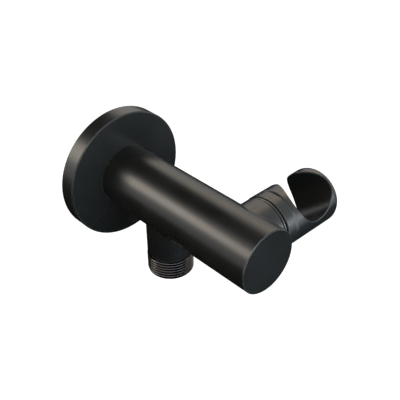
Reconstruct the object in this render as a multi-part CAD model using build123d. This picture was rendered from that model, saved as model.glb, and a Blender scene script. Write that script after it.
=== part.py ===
from build123d import *
import os
from math import sqrt

# Wall outlet elbow with a swivelling cradle for a hand shower.
# The origin is the centre of the rosette's wall face, on the arm's axis.
# +X runs out of the wall, +Y along the cradle's swivel, +Z is up.
# All sizes are in millimetres.

# Standard pipe thread of the water ways, shown plain at its major diameter
pipe_thread_dia = 20.955
pipe_thread_root_dia = 18.631

# Clearances
thread_clearance = 0.03
press_clearance = 0.02
seat_clearance = 0.02
running_clearance = 0.05
seal_clearance = 0.02
touching = 0.001

# Rosette, slipped over the arm and pressed to the wall
rosette_dia = 60.0
rosette_thickness = 7.5
rosette_face = 2.2
rosette_rim_wall = 3.5
rosette_bevel = 0.45
rosette_slip = 0.1
rosette_boss_wall = 3.6
rosette_boss_setback = 0.8
rosette_ring_width = 2.0
rosette_ring_depth = 1.3
gasket_width = 1.9
gasket_depth = 2.2

# Arm, a round bar with the water way drilled into it
arm_dia = 28.1
arm_reach = 93.3
arm_setback = 0.8
arm_bevel = 0.33
socket_lead = 0.7

# Wall nipple, screwed into the wall fitting
nipple_reach = 11.5
nipple_lead = 1.1
nipple_undercut = 0.4
nipple_undercut_width = 0.6
spigot_dia = 17.0
spigot_slip = 0.05
spigot_lead = 0.6
nipple_bore_dia = 10.0
nipple_key = 10.0
nipple_key_depth = 9.0
nipple_end_gap = 0.5
ring_groove_depth = 1.25
ring_groove_width = 2.2
ring_pitch = 3.2
end_land = 2.4

# Locking screw, from below, in front of the rosette
lock_screw_dia = 5.0
lock_screw_offset = 5.3
lock_screw_key = 2.5
lock_screw_key_depth = 2.4
lock_screw_sink = 0.3
lock_point_dia = 3.4
lock_groove_width = 3.7
lock_groove_depth = 1.3
lock_to_seal = 5.3

# Outlet nipple, screwed up into the arm
outlet_web = 1.2
barrel_dia = 20.6
barrel_drop = 26.6
barrel_bevel = 0.85
barrel_cover = 0.8
outlet_groove = 0.6
outlet_thread_length = 9.3
outlet_lead = 0.5
screw_end_dia = 18.0
screw_end_length = 5.0
screw_end_lead = 0.5
outlet_hole_break = 0.25
outlet_gasket_thickness = 1.0
outlet_gasket_bite = 0.1
outlet_key = 12.0
outlet_key_depth = 8.0
pocket_dia = 14.0
waterway_dia = 8.6
waterway_lift = 0.2
pocket_roof = 0.5

# Check valve cartridge inside the outlet nipple
valve_dia = 15.0
valve_slip = 0.05
valve_length = 15.0
valve_recess = 2.6
valve_wall = 1.25
valve_seat_dia = 8.6
valve_seat_thickness = 1.6
valve_ring_depth = 0.85
valve_ring_width = 1.5
valve_ring_drop = 4.0
guide_height = 3.4
guide_rim = 0.9
guide_hub_dia = 5.4
guide_spoke = 1.5
guide_spokes = 3
guide_lift = 0.3
poppet_dia = 10.0
poppet_thickness = 1.2
poppet_nose_dia = 6.6
poppet_stem_dia = 3.0
poppet_seal_thickness = 1.0
stem_engagement = 1.6
spring_wire = 0.5
spring_dia = 4.4
spring_turns = 4.5

# Side stub that carries the cradle
pivot_to_front = 16.9
stub_dia = 24.5
stub_proud = 1.48
stub_bevel = 0.33
stub_floor = 2.6
stub_spigot_dia = 16.0
stub_bore_dia = 13.4
stub_hole_gap = 0.1

# Friction stack in the gap between the stub and the collar
friction_washer_thickness = 0.42
friction_washer_dia = 22.2
spacer_ring_thickness = 0.87
spacer_ring_dia = 24.1
spacer_ring_bevel = 0.16

# Swivel pivot inside the stub
journal_dia = 9.0
journal_depth = 2.3
bush_wall = 0.95
thrust_washer_thickness = 1.0
disc_spring_dia = 12.5
disc_spring_hole = 6.3
disc_spring_sheet = 0.7
disc_spring_height = 1.0
bolt_dia = 6.0
bolt_head_dia = 10.0
bolt_head_height = 4.0
bolt_key = 4.0
bolt_key_depth = 2.2
bolt_end_gap = 0.5
bolt_bite = 5.6
bolt_hole_gap = 0.5

# Swivel collar and cradle head
collar_dia = 25.0
collar_length = 4.8
collar_bevel = 0.27
neck_dia = 18.5
head_length = 28.5
head_end_radius = 3.6
head_groove_run = 1.1
head_groove_fall = 0.33
cradle_bore_dia = 22.1
cradle_bore_offset = 2.27
cradle_end_wall = 3.35
cradle_slot = 12.3
cradle_lip_radius = 1.1
cradle_rim_round = 0.38
cradle_lean = 47.0

# Places that follow from the sizes above
arm_r = arm_dia / 2
thread_r = pipe_thread_dia / 2
spigot_r = spigot_dia / 2
socket_r = spigot_r + spigot_slip
lock_x = rosette_thickness + lock_screw_offset
first_ring_x = lock_x + lock_to_seal
second_ring_x = first_ring_x + ring_pitch
nipple_end_x = second_ring_x + end_land
socket_floor_x = nipple_end_x + nipple_end_gap
ring_floor_r = spigot_r - ring_groove_depth

barrel_r = barrel_dia / 2
outlet_x = socket_floor_x + outlet_web + barrel_r
seat_z = barrel_cover - sqrt(arm_r ** 2 - barrel_r ** 2)
screw_end_z = seat_z + screw_end_length
ledge_z = screw_end_z + outlet_gasket_thickness
waterway_r = waterway_dia / 2
waterway_z = ledge_z + waterway_r + waterway_lift
thread_top_z = -barrel_drop - outlet_groove
outlet_end_z = thread_top_z - outlet_thread_length
valve_bottom_z = outlet_end_z + valve_recess
valve_top_z = valve_bottom_z + valve_length
valve_stop_z = valve_top_z + seat_clearance
valve_r = valve_dia / 2 - valve_slip
valve_seat_z = valve_top_z - valve_seat_thickness
poppet_seal_z = valve_seat_z - seat_clearance - poppet_seal_thickness
poppet_back_z = poppet_seal_z - poppet_thickness
guide_bottom_z = valve_bottom_z + guide_lift
guide_top_z = guide_bottom_z + guide_height
stem_end_z = guide_top_z - stem_engagement

pivot_x = arm_reach - pivot_to_front
stub_r = stub_dia / 2
stub_end_y = arm_r + stub_proud
stub_floor_y = stub_end_y - stub_floor
thrust_y = stub_floor_y - thrust_washer_thickness
bolt_seat_y = thrust_y - 2 * disc_spring_height
bolt_head_y = bolt_seat_y - bolt_head_height
side_hole_y = bolt_head_y - bolt_end_gap
stub_inner_y = side_hole_y + stub_hole_gap
spacer_y = stub_end_y + friction_washer_thickness
outer_washer_y = spacer_y + spacer_ring_thickness
collar_y = outer_washer_y + friction_washer_thickness + seat_clearance
head_y = collar_y + collar_length
head_end_y = head_y + head_length
journal_end_y = stub_end_y - journal_depth
journal_r = journal_dia / 2
bush_bore_r = journal_r + running_clearance
bush_r = bush_bore_r + bush_wall
collar_r = collar_dia / 2
cradle_bore_r = cradle_bore_dia / 2
cradle_y = head_end_y - cradle_end_wall - cradle_bore_r
bolt_end_y = collar_y + bolt_bite


def turned(profile):
    """Turn a closed outline of (place along the axis, radius) points about Z."""
    outline = Polyline(*[(radius, along) for along, radius in profile], close=True)
    return revolve(Plane.XZ * make_face(outline), Axis.Z)


def along_x(shape):
    """Lay a shape turned about Z along the arm's axis."""
    return Rot(0, 90, 0) * shape


def along_y(shape):
    """Lay a shape turned about Z along the swivel's axis."""
    return Pos(pivot_x, 0, 0) * Rot(-90, 0, 0) * shape


def below_arm(shape):
    """Place a shape turned about Z on the outlet's axis."""
    return Pos(outlet_x, 0, 0) * shape


def rod(radius, start, end):
    """A plain round rod about Z from one height to another."""
    return turned([(start, 0), (start, radius), (end, radius), (end, 0)])


def ring(inner_r, outer_r, start, end):
    """A plain flat ring about Z."""
    return turned([(start, inner_r), (start, outer_r), (end, outer_r), (end, inner_r)])


def hexagon(across_flats, start, end):
    """A hexagon bar about Z, for a key seat."""
    outline = RegularPolygon(across_flats / 2, 6, major_radius=False)
    return Pos(0, 0, start) * extrude(outline, end - start)


def seal_ring(inner_r, outer_r, place):
    """A round rubber ring as it lies between two walls, just clear of both."""
    section_r = (outer_r - inner_r) / 2 - seal_clearance
    return Pos(0, 0, place) * Torus((inner_r + outer_r) / 2, section_r)


def wall_rosette():
    """Turned cup with a boss that grips the arm through a rubber ring."""
    outer_r = rosette_dia / 2
    hole_r = arm_r + rosette_slip
    boss_r = hole_r + rosette_boss_wall
    inner_r = outer_r - rosette_rim_wall
    gasket_r = inner_r + gasket_width
    back_x = rosette_thickness - rosette_face
    body = turned([
        (0, gasket_r),
        (0, outer_r),
        (rosette_thickness - rosette_bevel, outer_r),
        (rosette_thickness, outer_r - rosette_bevel),
        (rosette_thickness, hole_r),
        (rosette_boss_setback, hole_r),
        (rosette_boss_setback, boss_r),
        (back_x, boss_r),
        (back_x, inner_r),
        (gasket_depth, inner_r),
        (gasket_depth, gasket_r),
    ])
    middle = rosette_ring_x()
    groove = ring(
        hole_r - rosette_slip,
        hole_r + rosette_ring_depth,
        middle - rosette_ring_width / 2,
        middle + rosette_ring_width / 2,
    )
    return along_x(body - groove)


def rosette_ring_x():
    """Place of the rosette's rubber ring, half way along its boss."""
    return (rosette_boss_setback + rosette_thickness - rosette_face) / 2


def rosette_o_ring():
    """Rubber ring between the rosette's boss and the arm."""
    floor_r = arm_r + rosette_slip + rosette_ring_depth
    return along_x(seal_ring(arm_r, floor_r, rosette_ring_x()))


def rosette_gasket():
    """Foam ring in the step of the rosette's rim, flush with the wall."""
    inner_r = rosette_dia / 2 - rosette_rim_wall
    outer_r = inner_r + gasket_width - seal_clearance
    return along_x(ring(inner_r, outer_r, 0, gasket_depth - seal_clearance))


def arm_body():
    """Round bar with its nipple socket, water way, outlet seat and side hole."""
    bar = turned([
        (arm_setback, 0),
        (arm_setback, arm_r - arm_bevel),
        (arm_setback + arm_bevel, arm_r),
        (arm_reach - arm_bevel, arm_r),
        (arm_reach, arm_r - arm_bevel),
        (arm_reach, 0),
    ])
    outlet_seat = rod(barrel_r + thread_clearance, -arm_dia, seat_z + outlet_gasket_bite)
    body = along_x(bar) - below_arm(outlet_seat)
    body = chamfer(outlet_mouth(body), outlet_hole_break)
    socket = turned([
        (arm_setback - socket_lead, 0),
        (arm_setback - socket_lead, socket_r + 2 * socket_lead),
        (arm_setback + socket_lead, socket_r),
        (socket_floor_x, socket_r),
        (socket_floor_x, 0),
    ])
    waterway = Pos(0, 0, waterway_z) * along_x(rod(waterway_r, socket_floor_x - socket_lead, outlet_x))
    tapped = rod(screw_end_dia / 2 + thread_clearance, seat_z, ledge_z)
    pocket_top = waterway_z + waterway_r + pocket_roof
    pocket = rod(pocket_dia / 2, ledge_z - outlet_gasket_thickness, pocket_top)
    lock_hole = Pos(lock_x, 0, 0) * rod(lock_screw_dia / 2 + thread_clearance, -arm_dia, -spigot_r / 2)
    side_hole = rod(stub_spigot_dia / 2 + press_clearance, side_hole_y, arm_dia)
    body -= along_x(socket) + waterway + below_arm(tapped + pocket)
    return body - lock_hole - along_y(side_hole)


def outlet_mouth(body):
    """Edges where the outlet's seat breaks out of the arm's round flank."""
    floor_z = seat_z + outlet_gasket_bite
    edges = body.edges().filter_by(GeomType.LINE, reverse=True)
    edges = edges.filter_by_position(Axis.X, outlet_x - barrel_dia, outlet_x + barrel_dia)
    return [edge for edge in edges if edge.bounding_box().min.Z < floor_z - barrel_cover]


def wall_nipple():
    """Pipe nipple: thread into the wall, plain spigot with two ring grooves."""
    undercut_r = pipe_thread_root_dia / 2 - nipple_undercut
    body = turned([
        (-nipple_reach, 0),
        (-nipple_reach, thread_r - nipple_lead),
        (nipple_lead - nipple_reach, thread_r),
        (0, thread_r),
        (0, undercut_r),
        (nipple_undercut_width, undercut_r),
        (nipple_undercut_width, spigot_r),
        (nipple_end_x - spigot_lead, spigot_r),
        (nipple_end_x, spigot_r - spigot_lead),
        (nipple_end_x, 0),
    ])
    for place in (first_ring_x, second_ring_x):
        half = ring_groove_width / 2
        body -= ring(ring_floor_r, arm_r, place - half, place + half)
    half = lock_groove_width / 2
    body -= ring(spigot_r - lock_groove_depth, arm_r, lock_x - half, lock_x + half)
    body -= rod(nipple_bore_dia / 2, -nipple_reach, nipple_end_x)
    body -= hexagon(nipple_key, nipple_end_x - nipple_key_depth, nipple_end_x)
    return along_x(body)


def nipple_o_ring(place):
    """Rubber ring that seals the wall nipple in the arm's socket."""
    return along_x(seal_ring(ring_floor_r, socket_r, place))


def locking_screw():
    """Hexagon socket set screw whose point locks into the nipple's groove."""
    point_end = -(spigot_r - lock_groove_depth + seat_clearance)
    shoulder = -(socket_r + lock_screw_sink)
    foot = -(arm_r - lock_screw_sink)
    body_r = lock_screw_dia / 2
    body = turned([
        (foot, 0),
        (foot, body_r - lock_screw_sink),
        (foot + lock_screw_sink, body_r),
        (shoulder, body_r),
        (shoulder, lock_point_dia / 2),
        (point_end, lock_point_dia / 2),
        (point_end, 0),
    ])
    key_seat = hexagon(lock_screw_key, foot, foot + lock_screw_key_depth)
    return Pos(lock_x, 0, 0) * (body - key_seat)


def outlet_nipple():
    """Stepped outlet: screw end in the arm, smooth barrel, hose thread."""
    screw_r = screw_end_dia / 2
    groove_r = pipe_thread_root_dia / 2
    body = turned([
        (screw_end_z, 0),
        (screw_end_z, screw_r - screw_end_lead),
        (screw_end_z - screw_end_lead, screw_r),
        (seat_z, screw_r),
        (seat_z, barrel_r),
        (barrel_bevel - barrel_drop, barrel_r),
        (-barrel_drop, barrel_r - barrel_bevel),
        (-barrel_drop, groove_r),
        (thread_top_z, groove_r),
        (thread_top_z, thread_r),
        (outlet_end_z + outlet_lead, thread_r),
        (outlet_end_z, thread_r - outlet_lead),
        (outlet_end_z, 0),
    ])
    body -= rod(outlet_key / 2, outlet_end_z, screw_end_z)
    body -= hexagon(outlet_key, valve_stop_z, valve_stop_z + outlet_key_depth)
    body -= rod(valve_dia / 2, outlet_end_z, valve_stop_z)
    return below_arm(body)


def outlet_gasket():
    """Flat fibre ring that the outlet nipple clamps under the arm's ledge."""
    outer_r = screw_end_dia / 2 - outlet_gasket_bite
    inner_r = pocket_dia / 2 + seal_clearance
    return below_arm(ring(inner_r, outer_r, screw_end_z + seal_clearance, ledge_z - seal_clearance))


def valve_body():
    """Cartridge shell with the valve seat at its top and a groove for its seal."""
    inner_r = valve_r - valve_wall
    body = turned([
        (valve_bottom_z, inner_r),
        (valve_bottom_z, valve_r),
        (valve_top_z, valve_r),
        (valve_top_z, valve_seat_dia / 2),
        (valve_seat_z, valve_seat_dia / 2),
        (valve_seat_z, inner_r),
    ])
    half = valve_ring_width / 2
    groove_z = valve_top_z - valve_ring_drop
    return below_arm(body - ring(valve_r - valve_ring_depth, valve_dia, groove_z - half, groove_z + half))


def valve_o_ring():
    """Rubber ring between the cartridge and the outlet nipple's bore."""
    ring_solid = seal_ring(valve_r - valve_ring_depth, valve_dia / 2, valve_top_z - valve_ring_drop)
    return below_arm(ring_solid)


def valve_guide():
    """Spoked ring in the cartridge's foot that guides the poppet's stem."""
    rim_r = valve_r - valve_wall - press_clearance
    rim = ring(rim_r - guide_rim, rim_r, guide_bottom_z, guide_top_z)
    hub = rod(guide_hub_dia / 2, guide_bottom_z, guide_top_z)
    reach = rim_r - guide_rim / 2
    height = guide_height / 2
    spoke = Pos(reach / 2, 0, guide_bottom_z + height / 2) * Box(reach, guide_spoke, height)
    body = rim + hub
    for step in range(guide_spokes):
        body += Rot(0, 0, step * 360 / guide_spokes) * spoke
    return below_arm(body - rod(poppet_stem_dia / 2 + running_clearance, guide_bottom_z, guide_top_z))


def valve_poppet():
    """Poppet with a nose through its seal, a disc and a guided stem."""
    nose_r = poppet_nose_dia / 2
    stem_r = poppet_stem_dia / 2
    nose_top = valve_seat_z - seat_clearance
    body = turned([
        (nose_top, 0),
        (nose_top, nose_r),
        (poppet_seal_z, nose_r),
        (poppet_seal_z, poppet_dia / 2),
        (poppet_back_z, poppet_dia / 2),
        (poppet_back_z, stem_r),
        (stem_end_z, stem_r),
        (stem_end_z, 0),
    ])
    return below_arm(body)


def poppet_seal():
    """Flat rubber ring on the poppet's disc, lifted off the seat by the flow."""
    inner_r = poppet_nose_dia / 2 + seal_clearance
    return below_arm(ring(inner_r, poppet_dia / 2, poppet_seal_z + seal_clearance, valve_seat_z - seat_clearance))


def valve_spring():
    """Closing spring between the guide's hub and the poppet's disc."""
    foot_z = guide_top_z + spring_wire / 2 + seat_clearance
    height = poppet_back_z - seat_clearance - spring_wire / 2 - foot_z
    path = Helix(pitch=height / spring_turns, height=height, radius=spring_dia / 2)
    section = Plane(origin=path @ 0, z_dir=path % 0) * Circle(spring_wire / 2)
    return below_arm(Pos(0, 0, foot_z) * sweep(section, path=path, is_frenet=True))


def side_stub():
    """Sleeve saddled on the arm, with a spigot in it and a cup for the pivot."""
    spigot_r_side = stub_spigot_dia / 2
    body = turned([
        (0, 0),
        (0, stub_r),
        (stub_end_y - stub_bevel, stub_r),
        (stub_end_y, stub_r - stub_bevel),
        (stub_end_y, 0),
    ])
    saddle = along_x(rod(arm_r + press_clearance, 0, arm_reach + stub_dia))
    spigot = rod(spigot_r_side, stub_inner_y, stub_end_y - stub_bevel)
    cup = rod(stub_bore_dia / 2, 0, stub_floor_y)
    eye = rod(bush_r + press_clearance, stub_floor_y, stub_end_y)
    return along_y(body) - saddle + along_y(spigot) - along_y(cup + eye)


def pivot_bush():
    """Plain plastic bush in the stub's floor, through the friction stack."""
    return along_y(ring(bush_bore_r, bush_r, stub_floor_y, collar_y - friction_washer_thickness))


def thrust_washer():
    """Steel washer that the disc springs bear on."""
    inner_r = bolt_dia / 2 + bolt_hole_gap
    outer_r = stub_bore_dia / 2 - press_clearance
    return along_y(ring(inner_r, outer_r, thrust_y + seat_clearance, stub_floor_y - seat_clearance))


def disc_spring(wide_end_y, narrow_end_y):
    """Conical sheet ring, its wide rim at one end and its hole at the other."""
    lean = disc_spring_sheet if narrow_end_y > wide_end_y else -disc_spring_sheet
    hole_r = disc_spring_hole / 2
    rim_r = disc_spring_dia / 2
    return along_y(turned([
        (wide_end_y, rim_r),
        (wide_end_y + lean, rim_r),
        (narrow_end_y, hole_r),
        (narrow_end_y - lean, hole_r),
    ]))


def pivot_bolt():
    """Socket head bolt that pulls the cradle against the friction stack."""
    shank_r = bolt_dia / 2
    body = turned([
        (bolt_head_y, 0),
        (bolt_head_y, bolt_head_dia / 2),
        (bolt_seat_y - seat_clearance, bolt_head_dia / 2),
        (bolt_seat_y - seat_clearance, shank_r),
        (bolt_end_y, shank_r),
        (bolt_end_y, 0),
    ])
    return along_y(body - hexagon(bolt_key, bolt_head_y, bolt_head_y + bolt_key_depth))


def friction_washer(start_y):
    """Thin plastic washer, set back so that it leaves a dark line."""
    inner_r = bush_r + press_clearance
    return along_y(ring(inner_r, friction_washer_dia / 2, start_y, start_y + friction_washer_thickness))


def spacer_ring():
    """Thin metal ring seen between the two dark lines."""
    inner_r = bush_r + press_clearance
    outer_r = spacer_ring_dia / 2
    edge_r = outer_r - spacer_ring_bevel
    return along_y(turned([
        (spacer_y, inner_r),
        (spacer_y, edge_r),
        (spacer_y + spacer_ring_bevel, outer_r),
        (outer_washer_y - spacer_ring_bevel, outer_r),
        (outer_washer_y, edge_r),
        (outer_washer_y, inner_r),
    ]))


def swivel_collar():
    """Ring on the cradle's neck that closes the gap to the friction stack."""
    edge_r = collar_r - collar_bevel
    inner_r = neck_dia / 2 + press_clearance
    return along_y(turned([
        (collar_y, inner_r),
        (collar_y, edge_r),
        (collar_y + collar_bevel, collar_r),
        (head_y - collar_bevel - seat_clearance, collar_r),
        (head_y - seat_clearance, edge_r),
        (head_y - seat_clearance, inner_r),
    ]))


def cradle_opening():
    """Bore and slot as one cut: its outline has rounded lips."""
    bore = Circle(cradle_bore_r)
    slot_run = cradle_bore_dia
    slot = Pos(-slot_run / 2, 0) * Rectangle(slot_run, cradle_slot)
    outline = bore + slot
    lips = outline.vertices().filter_by(lambda corner: corner.X > -cradle_bore_r)
    outline = fillet(lips.sort_by(Axis.X)[:2], cradle_lip_radius)
    return Pos(-cradle_bore_offset, cradle_y, -collar_dia) * extrude(outline, 2 * collar_dia)


def cradle_rim(body, opening):
    """Edges where the opening breaks out of the head's round surface."""
    walls = opening.faces()
    curved = body.edges().filter_by(GeomType.LINE, reverse=True)
    return [edge for edge in curved if min(wall.distance_to(edge @ 0.5) for wall in walls) < touching]


def cradle_head():
    """Cradle: journal, neck and round head with the offset bore and its slot."""
    body = turned([
        (journal_end_y, 0),
        (journal_end_y, journal_r),
        (collar_y, journal_r),
        (collar_y, neck_dia / 2),
        (head_y, neck_dia / 2),
        (head_y, collar_r - head_groove_fall),
        (head_y + head_groove_run, collar_r),
        (head_end_y, collar_r),
        (head_end_y, 0),
    ])
    body = fillet(body.edges().sort_by(Axis.Z)[-1], head_end_radius)
    body -= rod(bolt_dia / 2 + thread_clearance, journal_end_y, bolt_end_y + bolt_hole_gap)
    opening = cradle_opening()
    body = Rot(-90, 0, 0) * body - opening
    body = fillet(cradle_rim(body, opening), cradle_rim_round)
    return Pos(pivot_x, 0, 0) * Rot(0, cradle_lean, 0) * body


PIECES = {
    "wall_rosette": wall_rosette(),
    "rosette_o_ring": rosette_o_ring(),
    "rosette_gasket": rosette_gasket(),
    "arm_body": arm_body(),
    "wall_nipple": wall_nipple(),
    "nipple_o_ring_outer": nipple_o_ring(first_ring_x),
    "nipple_o_ring_inner": nipple_o_ring(second_ring_x),
    "locking_screw": locking_screw(),
    "outlet_nipple": outlet_nipple(),
    "outlet_gasket": outlet_gasket(),
    "valve_body": valve_body(),
    "valve_o_ring": valve_o_ring(),
    "valve_guide": valve_guide(),
    "valve_poppet": valve_poppet(),
    "poppet_seal": poppet_seal(),
    "valve_spring": valve_spring(),
    "side_stub": side_stub(),
    "pivot_bush": pivot_bush(),
    "thrust_washer": thrust_washer(),
    "disc_spring_inner": disc_spring(thrust_y, thrust_y - disc_spring_height),
    "disc_spring_outer": disc_spring(bolt_seat_y, bolt_seat_y + disc_spring_height),
    "pivot_bolt": pivot_bolt(),
    "friction_washer_inner": friction_washer(stub_end_y),
    "spacer_ring": spacer_ring(),
    "friction_washer_outer": friction_washer(outer_washer_y),
    "swivel_collar": swivel_collar(),
    "cradle_head": cradle_head(),
}

os.makedirs("parts", exist_ok=True)
for name, solid in PIECES.items():
    export_step(solid, f"parts/{name}.step")
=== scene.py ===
"""Looks of a wall outlet elbow with a swivelling cradle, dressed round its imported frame.

Lengths are in metres. The wall is the plane x = 0, the arm runs along +X, the cradle swivels about +Y and
the hose leaves along -Z.
"""
import logging
import math
from collections.abc import Callable
from dataclasses import dataclass
from enum import Enum

import bmesh
import bpy
from mathutils import Matrix, Quaternion, Vector

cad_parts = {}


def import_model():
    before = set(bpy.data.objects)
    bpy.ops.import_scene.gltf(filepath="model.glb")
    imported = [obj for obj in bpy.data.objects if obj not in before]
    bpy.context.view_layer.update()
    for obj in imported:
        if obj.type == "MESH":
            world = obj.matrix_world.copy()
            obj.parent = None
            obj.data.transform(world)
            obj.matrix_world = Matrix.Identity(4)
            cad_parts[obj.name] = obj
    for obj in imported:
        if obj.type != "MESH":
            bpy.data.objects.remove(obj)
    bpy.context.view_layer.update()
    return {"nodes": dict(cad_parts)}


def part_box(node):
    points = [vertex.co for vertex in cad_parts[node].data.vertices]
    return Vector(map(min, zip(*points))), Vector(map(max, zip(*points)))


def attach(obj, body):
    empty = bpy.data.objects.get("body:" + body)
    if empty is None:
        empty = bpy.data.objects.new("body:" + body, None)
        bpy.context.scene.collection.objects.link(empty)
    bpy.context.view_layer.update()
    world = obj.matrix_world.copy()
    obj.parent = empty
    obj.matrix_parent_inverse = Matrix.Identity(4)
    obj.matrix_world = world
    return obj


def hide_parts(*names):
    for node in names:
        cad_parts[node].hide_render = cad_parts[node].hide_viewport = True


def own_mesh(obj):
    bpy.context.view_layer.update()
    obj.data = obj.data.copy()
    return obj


LOG = logging.getLogger("outlet_elbow")
MM = 0.001
HOSE_THREAD_TOP = -27.2 * MM
PIPE_THREAD_ROOT = 9.3155 * MM
Colour = tuple[float, float, float]
Triple = tuple[float, float, float]
Range = tuple[float, float]
Profile = list[tuple[float, float]]
Socket = bpy.types.NodeSocket


class Axis(Enum):
    """The axis that a turned piece was spun about in the lathe."""

    ARM = "arm"
    SWIVEL = "swivel"
    OUTLET = "outlet"

    def turn(self) -> Vector:
        """Work out how a piece has to turn for this axis to lie on Z.

        Returns:
            The Euler angles, in radians.
        """
        quarter = math.pi / 2
        angles = {Axis.ARM: (0, -quarter, 0), Axis.SWIVEL: (quarter, 0, 0), Axis.OUTLET: (0, 0, 0)}
        return Vector(angles[self])


class Bench:
    """Adds shader nodes to one node tree and links them."""

    def __init__(self, tree: bpy.types.NodeTree) -> None:
        """Keep the tree that the nodes go into."""
        self.tree = tree

    @classmethod
    def cleared(cls, owner: bpy.types.ID) -> "Bench":
        """Empty the node tree of a material or a world.

        Args:
            owner: The material or the world.

        Returns:
            A bench for its tree.
        """
        owner.use_nodes = True
        owner.node_tree.nodes.clear()
        return cls(owner.node_tree)

    def feed(self, socket: Socket, value: object) -> None:
        """Drive an input by another socket, or set it to a plain value.

        Args:
            socket: The input.
            value: The socket or the plain value that it gets.
        """
        if isinstance(value, Socket):
            self.tree.links.new(value, socket)
        else:
            socket.default_value = value

    def put(self, kind: str, feeds: dict | None = None, **settings: object) -> bpy.types.Node:
        """Add one node.

        Args:
            kind: The node's type name.
            feeds: Input name or number to a plain value or to the socket that drives it.
            **settings: Attributes of the node itself.

        Returns:
            The new node.
        """
        node = self.tree.nodes.new(kind)
        for name, value in settings.items():
            setattr(node, name, value)
        for name, value in (feeds or {}).items():
            self.feed(node.inputs[name], value)
        return node

    def math(self, operation: str, *values: object) -> Socket:
        """Work out one number from one, two or three others."""
        return self.put("ShaderNodeMath", dict(enumerate(values)), operation=operation).outputs[0]

    def span(self, value: object, low: float, high: float, start: float = 0.0, end: float = 1.0) -> Socket:
        """Map a number that runs from low to high onto the range from start to end, and hold it there."""
        feeds = {"Value": value, "From Min": low, "From Max": high, "To Min": start, "To Max": end}
        return self.put("ShaderNodeMapRange", feeds).outputs["Result"]

    def tint(self, share: object, first: object, second: object) -> Socket:
        """Blend two colours.

        Args:
            share: The second colour's share, from 0 to 1.
            first: A colour or the socket that gives it.
            second: A colour or the socket that gives it.

        Returns:
            The blended colour.
        """
        node = self.put("ShaderNodeMix", data_type="RGBA")
        self.feed(node.inputs[0], share)
        for number, colour in ((6, first), (7, second)):
            self.feed(node.inputs[number], colour if isinstance(colour, Socket) else (*colour, 1))
        return node.outputs[2]

    def centred(self, coordinates: Socket, centre: Vector) -> Socket:
        """Measure a place from a piece's own centre."""
        node = self.put("ShaderNodeVectorMath", {0: coordinates, 1: centre}, operation="SUBTRACT")
        return node.outputs["Vector"]

    def turned(self, place: Socket, axis: Axis) -> Socket:
        """Turn a place so that its piece's lathe axis is Z."""
        return self.put("ShaderNodeMapping", {"Vector": place, "Rotation": axis.turn()}).outputs["Vector"]

    def round_z(self, place: Socket) -> tuple[Socket, Socket]:
        """Work out where a place is as seen from the Z axis.

        Args:
            place: The place.

        Returns:
            Its distance from Z and its height along Z.
        """
        parts = self.put("ShaderNodeSeparateXYZ", {"Vector": place})
        across = self.math("MULTIPLY", parts.outputs["X"], parts.outputs["X"])
        square = self.math("MULTIPLY_ADD", parts.outputs["Y"], parts.outputs["Y"], across)
        return self.math("SQRT", square), parts.outputs["Z"]

    def seen_by(self, *kinds: str) -> Socket:
        """Tell some kinds of ray from all others.

        Args:
            *kinds: Names of the Light Path's outputs.

        Returns:
            1 for a ray of these kinds and 0 for any other.
        """
        path = self.put("ShaderNodeLightPath")
        share = path.outputs[kinds[0]]
        for kind in kinds[1:]:
            share = self.math("MAXIMUM", share, path.outputs[kind])
        return share


class Effect(Enum):
    """Surface effects that several finishes share, each one node group."""

    GRAIN = "coating_grain"
    MARKS = "handling_marks"
    TURNING = "turning_marks"
    # edge mask whose lighter colour is partly rubbed wear and partly a painted highlight
    RUB = "edge_rub_and_painted_highlight"


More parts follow.
